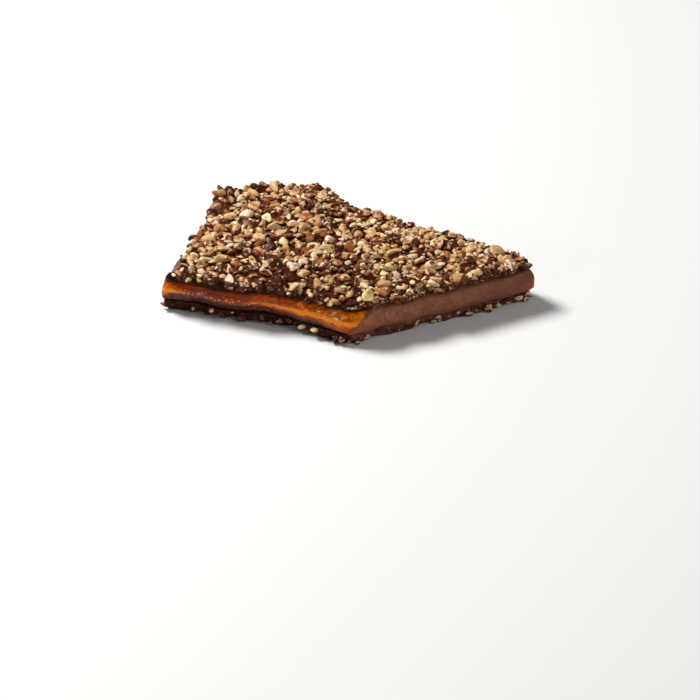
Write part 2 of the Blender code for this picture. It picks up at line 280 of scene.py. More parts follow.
# Two sizes of unevenness, as values and as one relief.
uneven, given, result = new_group(
    "uneven_surface",
    (("Place", VECTOR), ("Coarse Scale", FLOAT), ("Fine Scale", FLOAT), ("Coarse Depth", FLOAT),
     ("Fine Depth", FLOAT)),
    (("Coarse", FLOAT), ("Fine", FLOAT), ("Normal", VECTOR)),
)
coarse, fine = (
    uneven.node(
        "ShaderNodeTexNoise", Vector=given["Place"], Scale=given[f"{size} Scale"], Detail=3.0
    ).outputs["Fac"]
    for size in ("Coarse", "Fine")
)
coarse_bump = uneven.node("ShaderNodeBump", Height=coarse, Distance=given["Coarse Depth"]).outputs["Normal"]
bump = uneven.node("ShaderNodeBump", Height=fine, Distance=given["Fine Depth"], Normal=coarse_bump)
for label, value in zip(("Coarse", "Fine", "Normal"), (coarse, fine, bump.outputs["Normal"])):
    uneven.feed(result[label], value)
UNEVEN_SURFACE = uneven.tree


def new_finish(name):
    """A new material, its tree, the sockets of its Principled shader and the Object coordinates."""
    material = bpy.data.materials.new(name)
    material.use_nodes = True
    finish = Finish(material.node_tree)
    shader = material.node_tree.nodes["Principled BSDF"].inputs
    return material, finish, shader, finish.node("ShaderNodeTexCoord").outputs["Object"]


# The first two amber colours are the same amber as it looks lit and in shade. The burnt one is dark toffee
# and also the amber's deeper shade, and the dull one is the clean side's foot, partly touched by chocolate
# and partly painted shade.
LIT_AMBER = (0.88, 0.27, 0.012, 1)
SHADED_AMBER = (0.45, 0.048, 0.0015, 1)
# The honey colour is for specks that are partly crumb dust and partly painted glints.
HONEY = (0.88, 0.55, 0.28, 1)
BURNT = (0.168, 0.037, 0.014, 1)
DULL_SHADED_TOFFEE = (0.042, 0.010, 0.005, 1)
SMEAR = (0.365, 0.130, 0.065, 1)
SMEAR_DARK = (0.16, 0.052, 0.027, 1)
WARM_FILM = (0.33, 0.055, 0.006, 1)
PALE_FILM = (0.135, 0.060, 0.039, 1)

toffee_material, finish, shader, place = new_finish("toffee")
streaks_place = finish.node("ShaderNodeMapping", Vector=place, Scale=(0.6, 0.6, 1.3)).outputs["Vector"]
streaks = finish.place(
    UNEVEN_SURFACE, Place=streaks_place, Coarse_Scale=420.0, Fine_Scale=1500.0, Coarse_Depth=0.14 * MM,
    Fine_Depth=0.05 * MM,
)
clouds = finish.place(UNEVEN_SURFACE, Place=place, Coarse_Scale=430.0, Fine_Scale=1500.0)
# Painted light and shade: the glow attribute and the streaks set how lit the clean amber looks.
painted_glow_level = finish.ramp(streaks["Coarse"], 0.36, 0.64, -0.08, 0.08)
painted_glow_level = finish.maths("ADD", finish.attribute("painted_glow"), painted_glow_level)
painted_glow_level = finish.maths("ADD", painted_glow_level, finish.ramp(streaks["Fine"], 0.38, 0.62, -0.09, 0.11))
amber = finish.mix(finish.ramp(painted_glow_level, 0.5, 1.0), SHADED_AMBER, LIT_AMBER)
amber = finish.mix(finish.ramp(painted_glow_level, 0.2, 0.62), BURNT, amber)
clean_colour = finish.mix(finish.ramp(painted_glow_level, 0.0, 0.25), DULL_SHADED_TOFFEE, amber)
coarse_clouds = finish.ramp(clouds["Coarse"], 0.35, 0.68, 0.0, 0.65)
fine_clouds = finish.ramp(clouds["Fine"], 0.36, 0.66, 0.0, 0.7)
smear_colour = finish.mix(coarse_clouds, SMEAR, SMEAR_DARK)
smear_colour = finish.mix(fine_clouds, smear_colour, SMEAR_DARK)
smear_colour = finish.mix(finish.attribute("dark"), smear_colour, SMEAR_DARK)
pale_clouds = finish.ramp(clouds["Coarse"], 0.35, 0.68, 0.0, 0.6)
pale_colour = finish.mix(pale_clouds, PALE_FILM, SMEAR_DARK)
smear_colour = finish.mix(finish.attribute("pale"), smear_colour, pale_colour)
smear_colour = finish.mix(finish.attribute("warm"), smear_colour, WARM_FILM)
smeared = finish.place(
    FRAYED_EDGE, Place=streaks_place, Mask=finish.attribute("smear"), Scale=900.0, Fray=1.7
)["Mask"]
# Honey specks, partly crumbs of dust and partly painted glints.
sparks = finish.node("ShaderNodeTexVoronoi", Vector=place, Scale=1300.0).outputs["Distance"]
sparse = finish.place(
    FRAYED_EDGE, Place=place, Mask=finish.attribute("dust_and_glints"), Scale=420.0, Fray=1.3
)["Mask"]
sparks = finish.maths("MULTIPLY", finish.ramp(sparks, 0.14, 0.30, 0.95, 0.0), sparse)
clean_colour = finish.mix(sparks, clean_colour, HONEY)
finish.feed(shader["Base Color"], finish.mix(smeared, clean_colour, smear_colour))
gloss = finish.ramp(painted_glow_level, 0.0, 0.5, 0.26, 0.09)
finish.feed(shader["Roughness"], finish.maths("ADD", gloss, finish.maths("MULTIPLY", smeared, 0.28)))
finish.feed(shader["Normal"], streaks["Normal"])
shader["Subsurface Weight"].default_value = 0.2
shader["Subsurface Radius"].default_value = (1.0, 0.3, 0.05)
shader["Subsurface Scale"].default_value = 1.2 * MM
shader["Specular IOR Level"].default_value = 0.2

TOFFEE_LEVELS = np.linspace(0, 1, 30)
EDGE_ROUNDING = 0.22
FILL_TO_COAT = LAYER_GAP - 0.02

# Along the clean side, over x: the height share of its ridge, how strong the painted glow of the amber is,
# and the height share where its dull foot, partly touched by chocolate and partly painted shade, ends.
RIDGE = ((-38, -20, -8, 0, 4), (0.62, 0.6, 0.56, 0.5, 0.45))
GLOW_ALONG = ((-42, -40.5, -38.5, -36, -25, -15, -4, 4), (0.9, 0.7, 0.5, 0.38, 0.36, 0.56, 0.66, 0.7))
DULL_SHADED_FOOT = ((-42, -40, -20, -8, 0, 4), (0.2, 0.48, 0.42, 0.26, 0.05, -0.1))


def toffee_side(level):
    """The outline at this level, pushed out along its normals by a rounded profile, by a ridge along the
    clean side and by long shallow fracture steps, and in by chips at the clean side's upper edge."""
    ring = outline(level)
    normal = outward(ring)
    rounding = -EDGE_ROUNDING * (smooth_step(level, 0.93, 1.0) + 1 - smooth_step(level, 0.0, 0.06))
    rounding = rounding - 0.5 * on_sides(TIP, 10) * smooth_step(level, 0.5, 1.0) ** 2
    belly = 0.14 * math.sin(math.pi * level)
    clean, other = on_sides(CLEAN_SIDE), 1 - on_sides(CLEAN_SIDE + SMEARED_SIDE + TIP)
    ridge = np.interp(ring[:, 0], *RIDGE)
    tilt = np.where(level > ridge, -0.6 * (level - ridge) / (1 - ridge), -0.6 * (ridge - level) / ridge)
    points = np.column_stack([ring, np.full(len(ring), TOFFEE_FOOT + level * (TOFFEE_HEAD - TOFFEE_FOOT))])
    steps = 0.10 * grain(points, (5.0, 5.0, 0.9), 61) + 0.07 * grain(points, (1.6, 1.6, 0.6), 62)
    chips = smooth_step(grain(points, (2.3, 2.3, 1.4), 63), 0.35, 0.8) * smooth_step(level, 0.78, 1.0)
    rough = clean + (1 - clean) * (0.5 + 1.3 * other)
    push = rounding + belly + clean * (tilt - 0.42 * chips) + rough * steps
    points[:, :2] += normal * push[:, None]
    return points


def toffee_rows():
    """Rows across the flat underside, up the sides and across the flat top. Inside the rim both faces stand
    out until they all but touch the coats."""
    sides = np.array([toffee_side(level) for level in TOFFEE_LEVELS])
    shares = np.array([0.5, 0.8, 0.93, 0.97])[:, None, None]
    under = sides[0] * (1, 1, 0) * shares + (0, 0, TOFFEE_FOOT - FILL_TO_COAT)
    over = sides[-1] * (1, 1, 0) * shares[::-1] + (0, 0, TOFFEE_HEAD + FILL_TO_COAT)
    return np.concatenate([under, sides, over])


toffee_points = toffee_rows()
toffee = shell("toffee", toffee_points, toffee_material)
x_place = toffee_points[..., 0]
height_share = (toffee_points[..., 2] - TOFFEE_FOOT) / (TOFFEE_HEAD - TOFFEE_FOOT)
glow_along = np.interp(x_place, *GLOW_ALONG)
dull_shaded_foot = np.interp(x_place, *DULL_SHADED_FOOT)
# Painted glow on the clean side: light above the dull foot, which is partly painted shade, a painted
# highlight along the ridge, and painted light down the front corner.
clean_glow = glow_along * smooth_step(height_share, dull_shaded_foot - 0.12, dull_shaded_foot + 0.16)
from_ridge = height_share - np.interp(x_place, *RIDGE)
clean_glow += 0.5 * smooth_step(glow_along, 0.3, 0.62) * np.exp(-((from_ridge / 0.1) ** 2))
clean_glow += 0.35 * smooth_step(x_place, 1.0, 4.5) * smooth_step(height_share, 0.0, 0.5)
other_glow = 0.2 + 0.1 * grain(toffee_points, (5.0, 5.0, 2.0), 71)
clean_share = on_sides(CLEAN_SIDE)
paint(toffee, "painted_glow", clean_share * clean_glow + (1 - clean_share) * other_glow)
# Where the specks lie: partly dust, partly painted glints, most along the ridge and towards the left tip.
dust_and_glints = 0.18 + 0.3 * np.exp(-((from_ridge / 0.16) ** 2)) + 0.12 * smooth_step(-x_place, 12, 20)
paint(toffee, "dust_and_glints", clean_share * dust_and_glints)
at_tip = smooth_step(x_place, 38.5, 41.5)
tip_glow = at_tip * smooth_step(0.75 - height_share, 0.0, 0.7)
near_corner = smooth_step(8 - x_place, 0, 6) * smooth_step(0.5 - height_share, 0, 0.5)
corner_glow = 0.5 * on_sides(SMEARED_SIDE) * near_corner
filmed = on_sides(SMEARED_SIDE + TIP)
other_sides = 1 - on_sides(SMEARED_SIDE + TIP + CLEAN_SIDE)
thin = other_sides * (1 - smooth_step(grain(toffee_points, (8.0, 8.0, 1.8), 72), -0.7, 0.3))
paint(toffee, "warm", np.clip(tip_glow + corner_glow + 0.25 * thin, 0, 1))
paint(toffee, "pale", np.broadcast_to(other_sides, x_place.shape))
paint(toffee, "smear", np.clip(filmed + other_sides - 0.3 * thin, 0, 1))
darker = 0.8 * smooth_step(0.35 - height_share, 0, 0.35) + 0.6 * smooth_step(x_place, 8, 38)
darker += at_tip * smooth_step(height_share, 0.3, 0.9)
paint(toffee, "dark", np.clip(darker, 0, 1))
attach(toffee, "root")
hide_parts("toffee_slab")

# The large nuts. Roasted nuts chopped by hand, scattered on the top coat while it was soft and pressed in,
# so each bit is sunk part of its height. The longest, which the solid has too, are laid first.

TOP_COAT_FOOT = TOFFEE_HEAD + LAYER_GAP
TOP_COAT_HEAD = TOP_COAT_FOOT + 1.9
TOP_COAT_WAVES = ((17.0, 0.26), (7.0, 0.16))
TOP_COAT_SEED = 5
NUT_SHORTEST, NUT_FALL, NUT_HALVING = 1.3, 2.7, 200
NUT_WIDTH = (0.5, 0.85)
NUT_HEIGHT = (0.42, 0.66)
NUT_LEAN = 0.25
NUT_SUNK = 0.38
NUT_EDGE_ROOM = 0.5
LARGE_NUTS = 175
ALL_NUTS = 620

# Where bits are scarcer, in millimetres of room that a spot counts as having lost: in a patch behind the
# clean side, in a bare margin along the left side and round the right tip, and for long bits near that tip.
PATCH_CENTRE, PATCH_SIZE, PATCH_LOSS = (-12.0, -14.5), (15.0, 4.5), 0.7
LEFT_MARGIN_AT, LEFT_MARGIN, TIP_MARGIN = (-11.0, 7.0), (3.4, 0.9), 2.8
LEFT_FACING, TIP_START = -0.7, 39
LARGE_CHOICES, SMALL_CHOICES = 14, 40
LARGE_MARGIN_LOSS, SMALL_MARGIN_LOSS, SMALL_MARGIN_START = 6, 30, 0.3
TIP_LENGTH, TIP_REACH, TIP_LOSS = 2.2, 30.0, 1.5
TOP_NUT_SEED = 109

# Along these sides the bits end this far inside the rim, and shrink at most to this share for it.
QUIET_SIDES, QUIET_MARGIN, QUIET_SHRINK = (7, 8, 9, 10, 11, 12, 13), 0.1, 0.6

coarse_outline = outline_head[::FINE_STEPS]
bare_left = outward(coarse_outline)[:, 0] < LEFT_FACING
bare_tip = coarse_outline[:, 0] > TIP_START
bare_rim = coarse_outline[bare_left | bare_tip]
bare_width = np.where(bare_tip, TIP_MARGIN, np.interp(coarse_outline[:, 1], LEFT_MARGIN_AT, LEFT_MARGIN))
bare_width = bare_width[bare_left | bare_tip]


def top_surface(x, y):
    """The top coat's mean height plus broad ripples."""
    return TOP_COAT_HEAD + rippled(x, y, TOP_COAT_WAVES, TOP_COAT_SEED)


def nut_lengths(count):
    """The shortest length plus a part that is halved at the 200th bit and goes on falling."""
    return NUT_SHORTEST + NUT_FALL / (1 + np.arange(count) / NUT_HALVING)


def thin_patch(x, y):
    """1 in the middle of the sparse patch behind the clean side, falling off like a bell."""
    along, across = (x - PATCH_CENTRE[0]) / PATCH_SIZE[0], (y - PATCH_CENTRE[1]) / PATCH_SIZE[1]
    return np.exp(-(along**2) - across**2)


def in_margin(spots):
    """How deep each spot lies in the bare margin along the left side and round the right tip: 1 at the rim,
    0 outside the margin."""
    from_rim = np.linalg.norm(spots[:, None] - bare_rim, axis=2)
    return np.clip(1 - (from_rim / bare_width).min(axis=1), 0, 1)


def unwelcome(spots, length, margin_loss, margin_start):
    """Lost room at each spot: in the sparse patch, in the bare margin, and for long bits near the tip."""
    x, y = spots.T
    coarse = max(0, length - TIP_LENGTH) * np.clip(x / TIP_REACH, 0, 1)
    inside = np.maximum(0, in_margin(spots) - margin_start * (x > 0))
    return PATCH_LOSS * thin_patch(x, y) + margin_loss * inside + TIP_LOSS * coarse


def spread(lengths, seed):
    """Centres for bits of these lengths. Each takes the roomiest of several random spots in the outline."""
    rng = np.random.default_rng(seed)
    reach = np.linalg.norm(coarse_outline, axis=1)
    spots = np.zeros((len(lengths), 2))
    for k, length in enumerate(lengths):
        choices, loss, start = LARGE_CHOICES, LARGE_MARGIN_LOSS, 0
        if k >= LARGE_NUTS:
            choices, loss, start = SMALL_CHOICES, SMALL_MARGIN_LOSS, SMALL_MARGIN_START
        side = rng.integers(0, len(coarse_outline), choices)
        share = np.sqrt(rng.random(choices)) * (1 - (NUT_EDGE_ROOM + length / 3) / reach[side])
        tries = coarse_outline[side] * share[:, None]
        room = np.zeros(choices)
        if k:
            apart = np.linalg.norm(tries[:, None] - spots[None, :k], axis=2)
            room = (apart - (length + lengths[:k]) / 2).min(axis=1)
        spots[k] = tries[np.argmax(room - unwelcome(tries, length, loss, start))]
    return spots


def nut_frame(length, rng):
    """A bit's half-sizes along its own axes, and its turn: a random width and height, a slight lean and any
    heading."""
    size = np.array([1, rng.uniform(*NUT_WIDTH), rng.uniform(*NUT_HEIGHT)]) * length / 2
    turn = Euler((*rng.normal(0, NUT_LEAN, 2), rng.uniform(0, 2 * math.pi)))
    return size, np.array(turn.to_matrix())


def nut_frames(lengths, seed):
    """All the half-sizes and all the turns, each bit's from a seed of its own."""
    frames = [nut_frame(length, np.random.default_rng(seed + k)) for k, length in enumerate(lengths)]
    return [np.array(part) for part in zip(*frames)]


def ball(subdivisions):
    """Corner directions and triangles of an icosphere."""
    bm = bmesh.new()
    bmesh.ops.create_icosphere(bm, subdivisions=subdivisions, radius=1)
    corners = np.array([vertex.co for vertex in bm.verts])
    corners /= np.linalg.norm(corners, axis=1)[:, None]
    triangles = np.array([[vertex.index for vertex in face.verts] for face in bm.faces])
    bm.free()
    return corners, triangles


def chopped(directions, sizes, turns, seed, cuts=5, nearest=(0.2, 0.5), crisp=(16, 80), swell=1.22):
    """Corners of many bits about their own centres, and how deep each corner lies in its bit's hollow. The
    corners of a ball come in to a few flat cuts, with edges from round to crisp, and into a hollow on one
    side. The ball is then bent along its length, stretched by its half-sizes and turned."""
    rng = np.random.default_rng(seed)
    count = len(sizes)
    faces = rng.normal(size=(count, cuts, 3))
    faces /= np.linalg.norm(faces, axis=2)[:, :, None]
    closest = rng.uniform(*nearest, (count, 1))
    depth = closest + (1 - closest) * rng.random((count, cuts))
    power = rng.uniform(*crisp, (count, 1))
    facing = np.maximum(np.einsum("nkc,vc->nkv", faces, directions), 0) / depth[:, :, None]
    radius = (1 + (facing ** power[:, :, None]).sum(axis=1)) ** (-1 / power)
    hollow = rng.normal(size=(count, 3)) * (1, 1, 0.6) + (0, 0, 0.4)
    hollow /= np.linalg.norm(hollow, axis=1)[:, None]
    dent = smooth_step(np.einsum("nc,vc->nv", hollow, directions), 0.5, 0.95)
    dent *= rng.random((count, 1)) < 0.5
    lumps = 0.07 * grain(directions + 5 * np.arange(count)[:, None, None], 0.6, seed + 7)
    radius = radius * (1 - 0.5 * dent) * (1 + lumps)
    shaped = radius[:, :, None] * directions
    shaped[..., 1] += rng.normal(0, 0.42, (count, 1)) * (shaped[..., 0] ** 2 - 0.3)
    return np.einsum("nvc,ndc->nvd", shaped * sizes[:, None, :] * swell, turns), dent


class HeightMap:
    """The height of what lies on the coat so far, on a square lattice of small cells."""

    CELL = 0.2

    def __init__(self, surface):
        self.low = plan.min(axis=0) - 2
        across = ((plan.max(axis=0) + 2 - self.low) / self.CELL).astype(int)
        self.x = self.low[0] + self.CELL * np.arange(across[0])
        self.y = self.low[1] + self.CELL * np.arange(across[1])
        self.bare = surface(*np.meshgrid(self.x, self.y, indexing="ij"))
        self.height = self.bare.copy()

    def window(self, centre, radius):
        start = np.maximum(0, ((centre - radius - self.low) / self.CELL).astype(int))
        stop = ((centre + radius - self.low) / self.CELL).astype(int) + 2
        return slice(start[0], stop[0]), slice(start[1], stop[1])

    def footing(self, centre, radius):
        """The height that a bit of this radius settles to: between the lowest and the mean under it."""
        patch = self.height[self.window(centre, radius)]
        return 0.5 * patch.min() + 0.5 * patch.mean()

    def pile(self, centre, radius, top):
        """Raises the map under a bit to a low dome that reaches its top."""
        window = self.window(centre, radius)
        x, y = self.x[window[0]][:, None] - centre[0], self.y[window[1]][None, :] - centre[1]
        share = 1 - (x * x + y * y) / radius**2
        dome = np.where(share > 0, top - (1 - np.sqrt(np.clip(share, 0, 1))) * radius * 0.6, -np.inf)
        self.height[window] = np.maximum(self.height[window], dome)

    def at(self, spots, field=None):
        """The map's value in the cell of each spot."""
        cells = np.clip(((spots - self.low) / self.CELL).astype(int), 0, np.array(self.height.shape) - 1)
        return (self.height if field is None else field)[cells[..., 0], cells[..., 1]]


top_map = HeightMap(top_surface)
TOP_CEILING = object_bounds()[1][2] / MM - 0.05
top_lengths = nut_lengths(ALL_NUTS)
top_spots = spread(top_lengths, TOP_NUT_SEED)
top_sizes, top_turns = nut_frames(top_lengths, TOP_NUT_SEED)
quiet_rim = outline_head[on_sides(QUIET_SIDES) > 0.5]
from_side = np.linalg.norm(top_spots[:, None] - quiet_rim, axis=2).min(axis=1)
top_sizes *= np.clip((from_side - QUIET_MARGIN) / top_sizes[:, 0], QUIET_SHRINK, 1)[:, None]
large_ball, large_triangles = ball(3)
large_corners, large_dents = chopped(large_ball, top_sizes[:LARGE_NUTS], top_turns[:LARGE_NUTS], 151)


def settled(corners, numbers, on_chocolate):
    """Centres of bits dropped one after another, each sunk part of its height into the chocolate or into
    what lies under it already."""
    centres = np.zeros((len(numbers), 3))
    for here, k in enumerate(numbers):
        low, high = corners[here, :, 2].min(), corners[here, :, 2].max()
        spot, radius = top_spots[k], top_lengths[k] * 0.4
        footing = top_surface(*spot) if on_chocolate else top_map.footing(spot, radius * 0.8)
        height = min(footing - low - NUT_SUNK * (high - low), TOP_CEILING - high)
        centres[here] = (*spot, height)
        top_map.pile(spot, radius, height + high)
    return centres


large_centres = settled(large_corners, range(LARGE_NUTS), True)

CREAM = (0.84, 0.65, 0.48, 1)
STRAW = (0.79, 0.62, 0.27, 1)
GOLDEN = (0.60, 0.36, 0.16, 1)
ROASTED = (0.30, 0.088, 0.022, 1)
SKIN = (0.16, 0.034, 0.008, 1)
COCOA = (0.064, 0.0115, 0.0025, 1)

nut_material, finish, shader, place = new_finish("roasted_nut")
surface = finish.place(
    UNEVEN_SURFACE, Place=place, Coarse_Scale=800.0, Fine_Scale=3200.0, Coarse_Depth=0.22 * MM,
    Fine_Depth=0.06 * MM,
)
tone = finish.ramp(surface["Coarse"], 0.34, 0.66, -0.18, 0.18)
# The tone attribute: each bit's own tone, and painted shade low down and in its hollow.
tone = finish.maths("ADD", finish.attribute("tone"), tone)
pale_flesh = finish.mix(finish.attribute("straw"), CREAM, STRAW)
flesh = finish.mix(finish.ramp(tone, 0.05, 0.5), pale_flesh, GOLDEN)
flesh = finish.mix(finish.ramp(tone, 0.5, 0.95), flesh, ROASTED)
skinned = finish.place(
    FRAYED_EDGE, Place=place, Mask=finish.attribute("skin"), Scale=1100.0, Fray=0.6
)["Mask"]
flesh = finish.mix(skinned, flesh, SKIN)
# Chocolate on the bits, and at their feet partly painted shade in the gaps.
cocoa_and_shade = finish.place(
    FRAYED_EDGE, Place=place, Mask=finish.attribute("cocoa_and_shade"), Scale=800.0, Fray=0.75
)["Mask"]
finish.feed(shader["Base Color"], finish.mix(cocoa_and_shade, flesh, COCOA))
finish.feed(shader["Roughness"], finish.ramp(cocoa_and_shade, 0, 1, 0.34, 0.32))
finish.feed(shader["Normal"], surface["Normal"])
shader["Specular IOR Level"].default_value = 0.22
shader["Subsurface Weight"].default_value = 0.12
shader["Subsurface Radius"].default_value = (0.6, 0.3, 0.12)
shader["Subsurface Scale"].default_value = 0.5 * MM


def bits(name, corners, centres, triangles, material, sharp_angle=30):
    """One mesh of many bits: each one's corners round its centre, with the same triangles for all."""
    count, per_bit, _ = corners.shape
    points = placed((corners + centres[:, None, :]).reshape(-1, 3))
    faces = (triangles[None] + (np.arange(count) * per_bit)[:, None, None]).reshape(-1, 3)
    mesh = bpy.data.meshes.new(name)
    mesh.from_pydata(points, [], faces.tolist())
    mesh.shade_smooth()
    mesh.set_sharp_from_angle(angle=math.radians(sharp_angle))
    mesh.materials.append(material)
    return linked(name, mesh)


# Bits near these sides, and most of all near this corner, are more often coated with chocolate all over. A
# waterline as low as DRY wets no bit.
DRY = -1.0
DUSKY_SIDES = (0, 1, 2, 8, 9, 10, 11, 12, 13)
DUSKY_CORNER = CORNERS[12, :2]
dusky_edge = outline_head[on_sides(DUSKY_SIDES) > 0.5][::4]


def paint_bits(
    piece, corners, dents, centres, waterline, seed, tone=0.38, coated_share=0.17, skin_share=0.35,
    may_coat=1,
):
    """Paints each bit: one tone of flesh, browner towards the back, and with painted shade low down and in
    its hollow, a skin on the side that faces a random way, and chocolate up to an uneven line over its
    waterline, and at its foot, partly as painted shade, or all over."""
    rng = np.random.default_rng(seed)
    count, per_bit, _ = corners.shape
    tones = np.clip(rng.normal(tone, 0.3, count) + 0.13 * smooth_step(centres[:, 1], 0, 25), 0, 1)
    low, high = corners[..., 2].min(axis=1), corners[..., 2].max(axis=1)
    risen = (corners[..., 2] - low[:, None]) / (high - low)[:, None]
    # Painted shade: darker low on each bit and in its hollow, over its own tone.
    paint(piece, "tone", tones[:, None] + 0.5 * (1 - smooth_step(risen, 0.25, 0.8)) + 0.4 * dents)
    facing = rng.normal(size=(count, 3))
    facing /= np.linalg.norm(facing, axis=1)[:, None]
    length = np.linalg.norm(corners, axis=2)
    turned = np.einsum("nvc,nc->nv", corners, facing) / np.maximum(length, 1e-6)
    skinned = rng.random(count) < skin_share
    paint(piece, "skin", np.where(skinned[:, None], smooth_step(turned, 0.0, 0.5), 0))
    patch = thin_patch(centres[:, 0], centres[:, 1])
    from_edge = np.linalg.norm(centres[:, None, :2] - dusky_edge, axis=2).min(axis=1)
    from_corner = np.linalg.norm(centres[:, :2] - DUSKY_CORNER, axis=1)
    dusky = 0.45 * np.clip(1 - from_edge / 3.5, 0, 1) + 0.5 * np.exp(-((from_corner / 5) ** 2))
    coated = rng.random(count) < may_coat * (coated_share + 0.35 * patch + dusky)
    above = corners[..., 2] + centres[:, None, 2] - np.reshape(waterline, (-1, 1))
    wetted = 1 - smooth_step(above + rng.normal(0, 0.12, (count, 1)), 0.1, 0.6)
    # Chocolate at each bit's foot, partly real and partly painted shade where bits meet.
    foot_cocoa_and_shade = 0.9 - 0.9 * smooth_step(risen + rng.normal(0, 0.12, (count, 1)), 0.2, 0.6)
    dipped = np.where(coated, rng.uniform(0.45, 1.0, count), 0)[:, None]
    paint(piece, "cocoa_and_shade", np.maximum(np.maximum(wetted, foot_cocoa_and_shade), dipped))
    paint(piece, "straw", np.repeat(rng.random(count) ** 2, per_bit))


large_nuts = bits("large_nuts", large_corners, large_centres, large_triangles, nut_material)
large_waterline = top_surface(*large_centres[:, :2].T)
paint_bits(large_nuts, large_corners, large_dents, large_centres, large_waterline, 171)
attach(large_nuts, "root")

# The small nuts. The same roasted nuts chopped finer, lying in the room between the large bits and leaning
# against them, held by chocolate at their feet.

small_ball, small_triangles = ball(2)
small_corners, small_dents = chopped(small_ball, top_sizes[LARGE_NUTS:], top_turns[LARGE_NUTS:], 153)
small_centres = settled(small_corners, range(LARGE_NUTS, ALL_NUTS), False)
small_nuts = bits("small_nuts", small_corners, small_centres, small_triangles, nut_material)
small_waterline = top_surface(*small_centres[:, :2].T)
paint_bits(small_nuts, small_corners, small_dents, small_centres, small_waterline, 173, tone=0.42)
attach(small_nuts, "root")

# The top coat. Tempered dark chocolate spread over the toffee and broken with it, so it stops near each
# side with a rough edge. It climbs a little up each bit of nut.

COAT_SETBACK = 0.25
COAT_SETBACK_MORE = 0.75
COAT_EDGE_WAVE = 7.0
TOP_EDGE_SEED = 23
CLIMB = 0.3
SIDE_ROWS = 12
FOOT_SHARES = (0.4, 0.8, 0.97)
RIGHT_TIP, TIP_ROUNDING, TIP_RADIUS = (42.0, -7.4), 1.1, 4.0


def coat_outline(level, seed):
    """The toffee's outline at a level, set back along its normals by an uneven amount."""
    ring = outline(level)
    more = np.clip(0.5 + 0.5 * ripple(*ring.T, COAT_EDGE_WAVE, seed), 0, 1)
    return averaged(ring - outward(ring) * (COAT_SETBACK + COAT_SETBACK_MORE * more)[:, None], 8)


heaped = top_map.height - top_map.bare
for _ in range(6):
    heaped = (heaped + np.roll(heaped, 1, 0) + np.roll(heaped, -1, 0)) / 3
    heaped = (heaped + np.roll(heaped, 1, 1) + np.roll(heaped, -1, 1)) / 3


def chocolate_top(ring):
    """Points of the top coat over a ring: broad ripples, a climb towards nearby nuts and fine lumps, less a
    rounding that grows towards the right tip."""
    points = np.column_stack([ring, np.zeros(len(ring))])
    lumps = 0.12 * grain(points, 1.5, 81) + 0.07 * grain(points, 0.6, 82)
    from_tip = np.linalg.norm(ring - RIGHT_TIP, axis=1)
    rounding = TIP_ROUNDING * np.clip(1 - from_tip / TIP_RADIUS, 0, 1) ** 1.5
    points[:, 2] = top_surface(*ring.T) + CLIMB * top_map.at(ring, heaped) + lumps - rounding
    return points


def top_coat_rows():
    """Rows from the middle of the flat foot out to the broken edge, up it, and in over the top."""
    foot = coat_outline(1, TOP_EDGE_SEED)
    normal = outward(foot)
    foot = foot - 0.4 * on_sides(TIP, 10)[:, None] * normal
    front_left = on_sides(LEFT_SIDE, 12) * np.interp(foot[:, 1], LEFT_MARGIN_AT, (1, 0.25))
    tip = on_sides(TIP, 10)
    slope = 0.35 + 1.3 * front_left + 1.2 * tip
    rows = [np.column_stack([foot * share, np.full(len(foot), TOP_COAT_FOOT)]) for share in FOOT_SHARES]
    crown = chocolate_top(foot - normal * slope[:, None])
    for level in np.linspace(0, 1, SIDE_ROWS):
        points = np.column_stack([foot, np.full(len(foot), TOP_COAT_FOOT)])
        points[:, 2] += level * (crown[:, 2] - 0.06 - TOP_COAT_FOOT)
        drawn_in = slope * smooth_step(level, 0.35 - 0.3 * tip, 1.1) ** 1.3
        rough = 0.22 * grain(points, (1.9, 1.9, 1.2), 83) + 0.12 * grain(points, 0.7, 84)
        rough *= 1 - 0.7 * tip
        points[:, :2] += normal * (rough * math.sin(math.pi * min(1, level + 0.15)) - drawn_in)[:, None]
        rows.append(points)
    rim = rows[-1][:, :2]
    rows.extend(chocolate_top(rim * share) for share in np.linspace(0.985, 0.06, 92))
    return np.array(rows)


CHOCOLATE = (0.043, 0.0072, 0.0018, 1)
CHOCOLATE_LIGHT = (0.092, 0.0215, 0.0065, 1)
CHOCOLATE_BROKEN = (0.16, 0.062, 0.039, 1)
# Near-black painted shade for the coats' edges over the clean side.
CHOCOLATE_PAINTED_SHADE = (0.020, 0.0032, 0.0008, 1)
NUT_DUST = (0.62, 0.43, 0.30, 1)

chocolate_material, finish, shader, place = new_finish("dark_chocolate")
surface = finish.place(
    UNEVEN_SURFACE, Place=place, Coarse_Scale=420.0, Fine_Scale=2300.0, Coarse_Depth=0.35 * MM,
    Fine_Depth=0.16 * MM,
)
colour = finish.mix(finish.ramp(surface["Coarse"], 0.38, 0.68), CHOCOLATE, CHOCOLATE_LIGHT)
broken = finish.place(
    FRAYED_EDGE, Place=place, Mask=finish.attribute("broken"), Scale=700.0, Fray=0.9
)["Mask"]
colour = finish.mix(broken, colour, CHOCOLATE_BROKEN)
# Painted shade on the coat's edge over the clean side.
colour = finish.mix(finish.attribute("painted_shade"), colour, CHOCOLATE_PAINTED_SHADE)
specks = finish.node("ShaderNodeTexVoronoi", Vector=place, Scale=2300.0).outputs["Distance"]
speckled = finish.place(FRAYED_EDGE, Place=place, Mask=0.32, Scale=500.0, Fray=1.6)["Mask"]
dust = finish.maths("MULTIPLY", finish.ramp(specks, 0.14, 0.22, 0.85, 0.0), speckled)
finish.feed(shader["Base Color"], finish.mix(dust, colour, NUT_DUST))
finish.feed(shader["Roughness"], finish.ramp(surface["Fine"], 0.3, 0.7, 0.24, 0.46))
finish.feed(shader["Normal"], surface["Normal"])
shader["Specular IOR Level"].default_value = 0.07

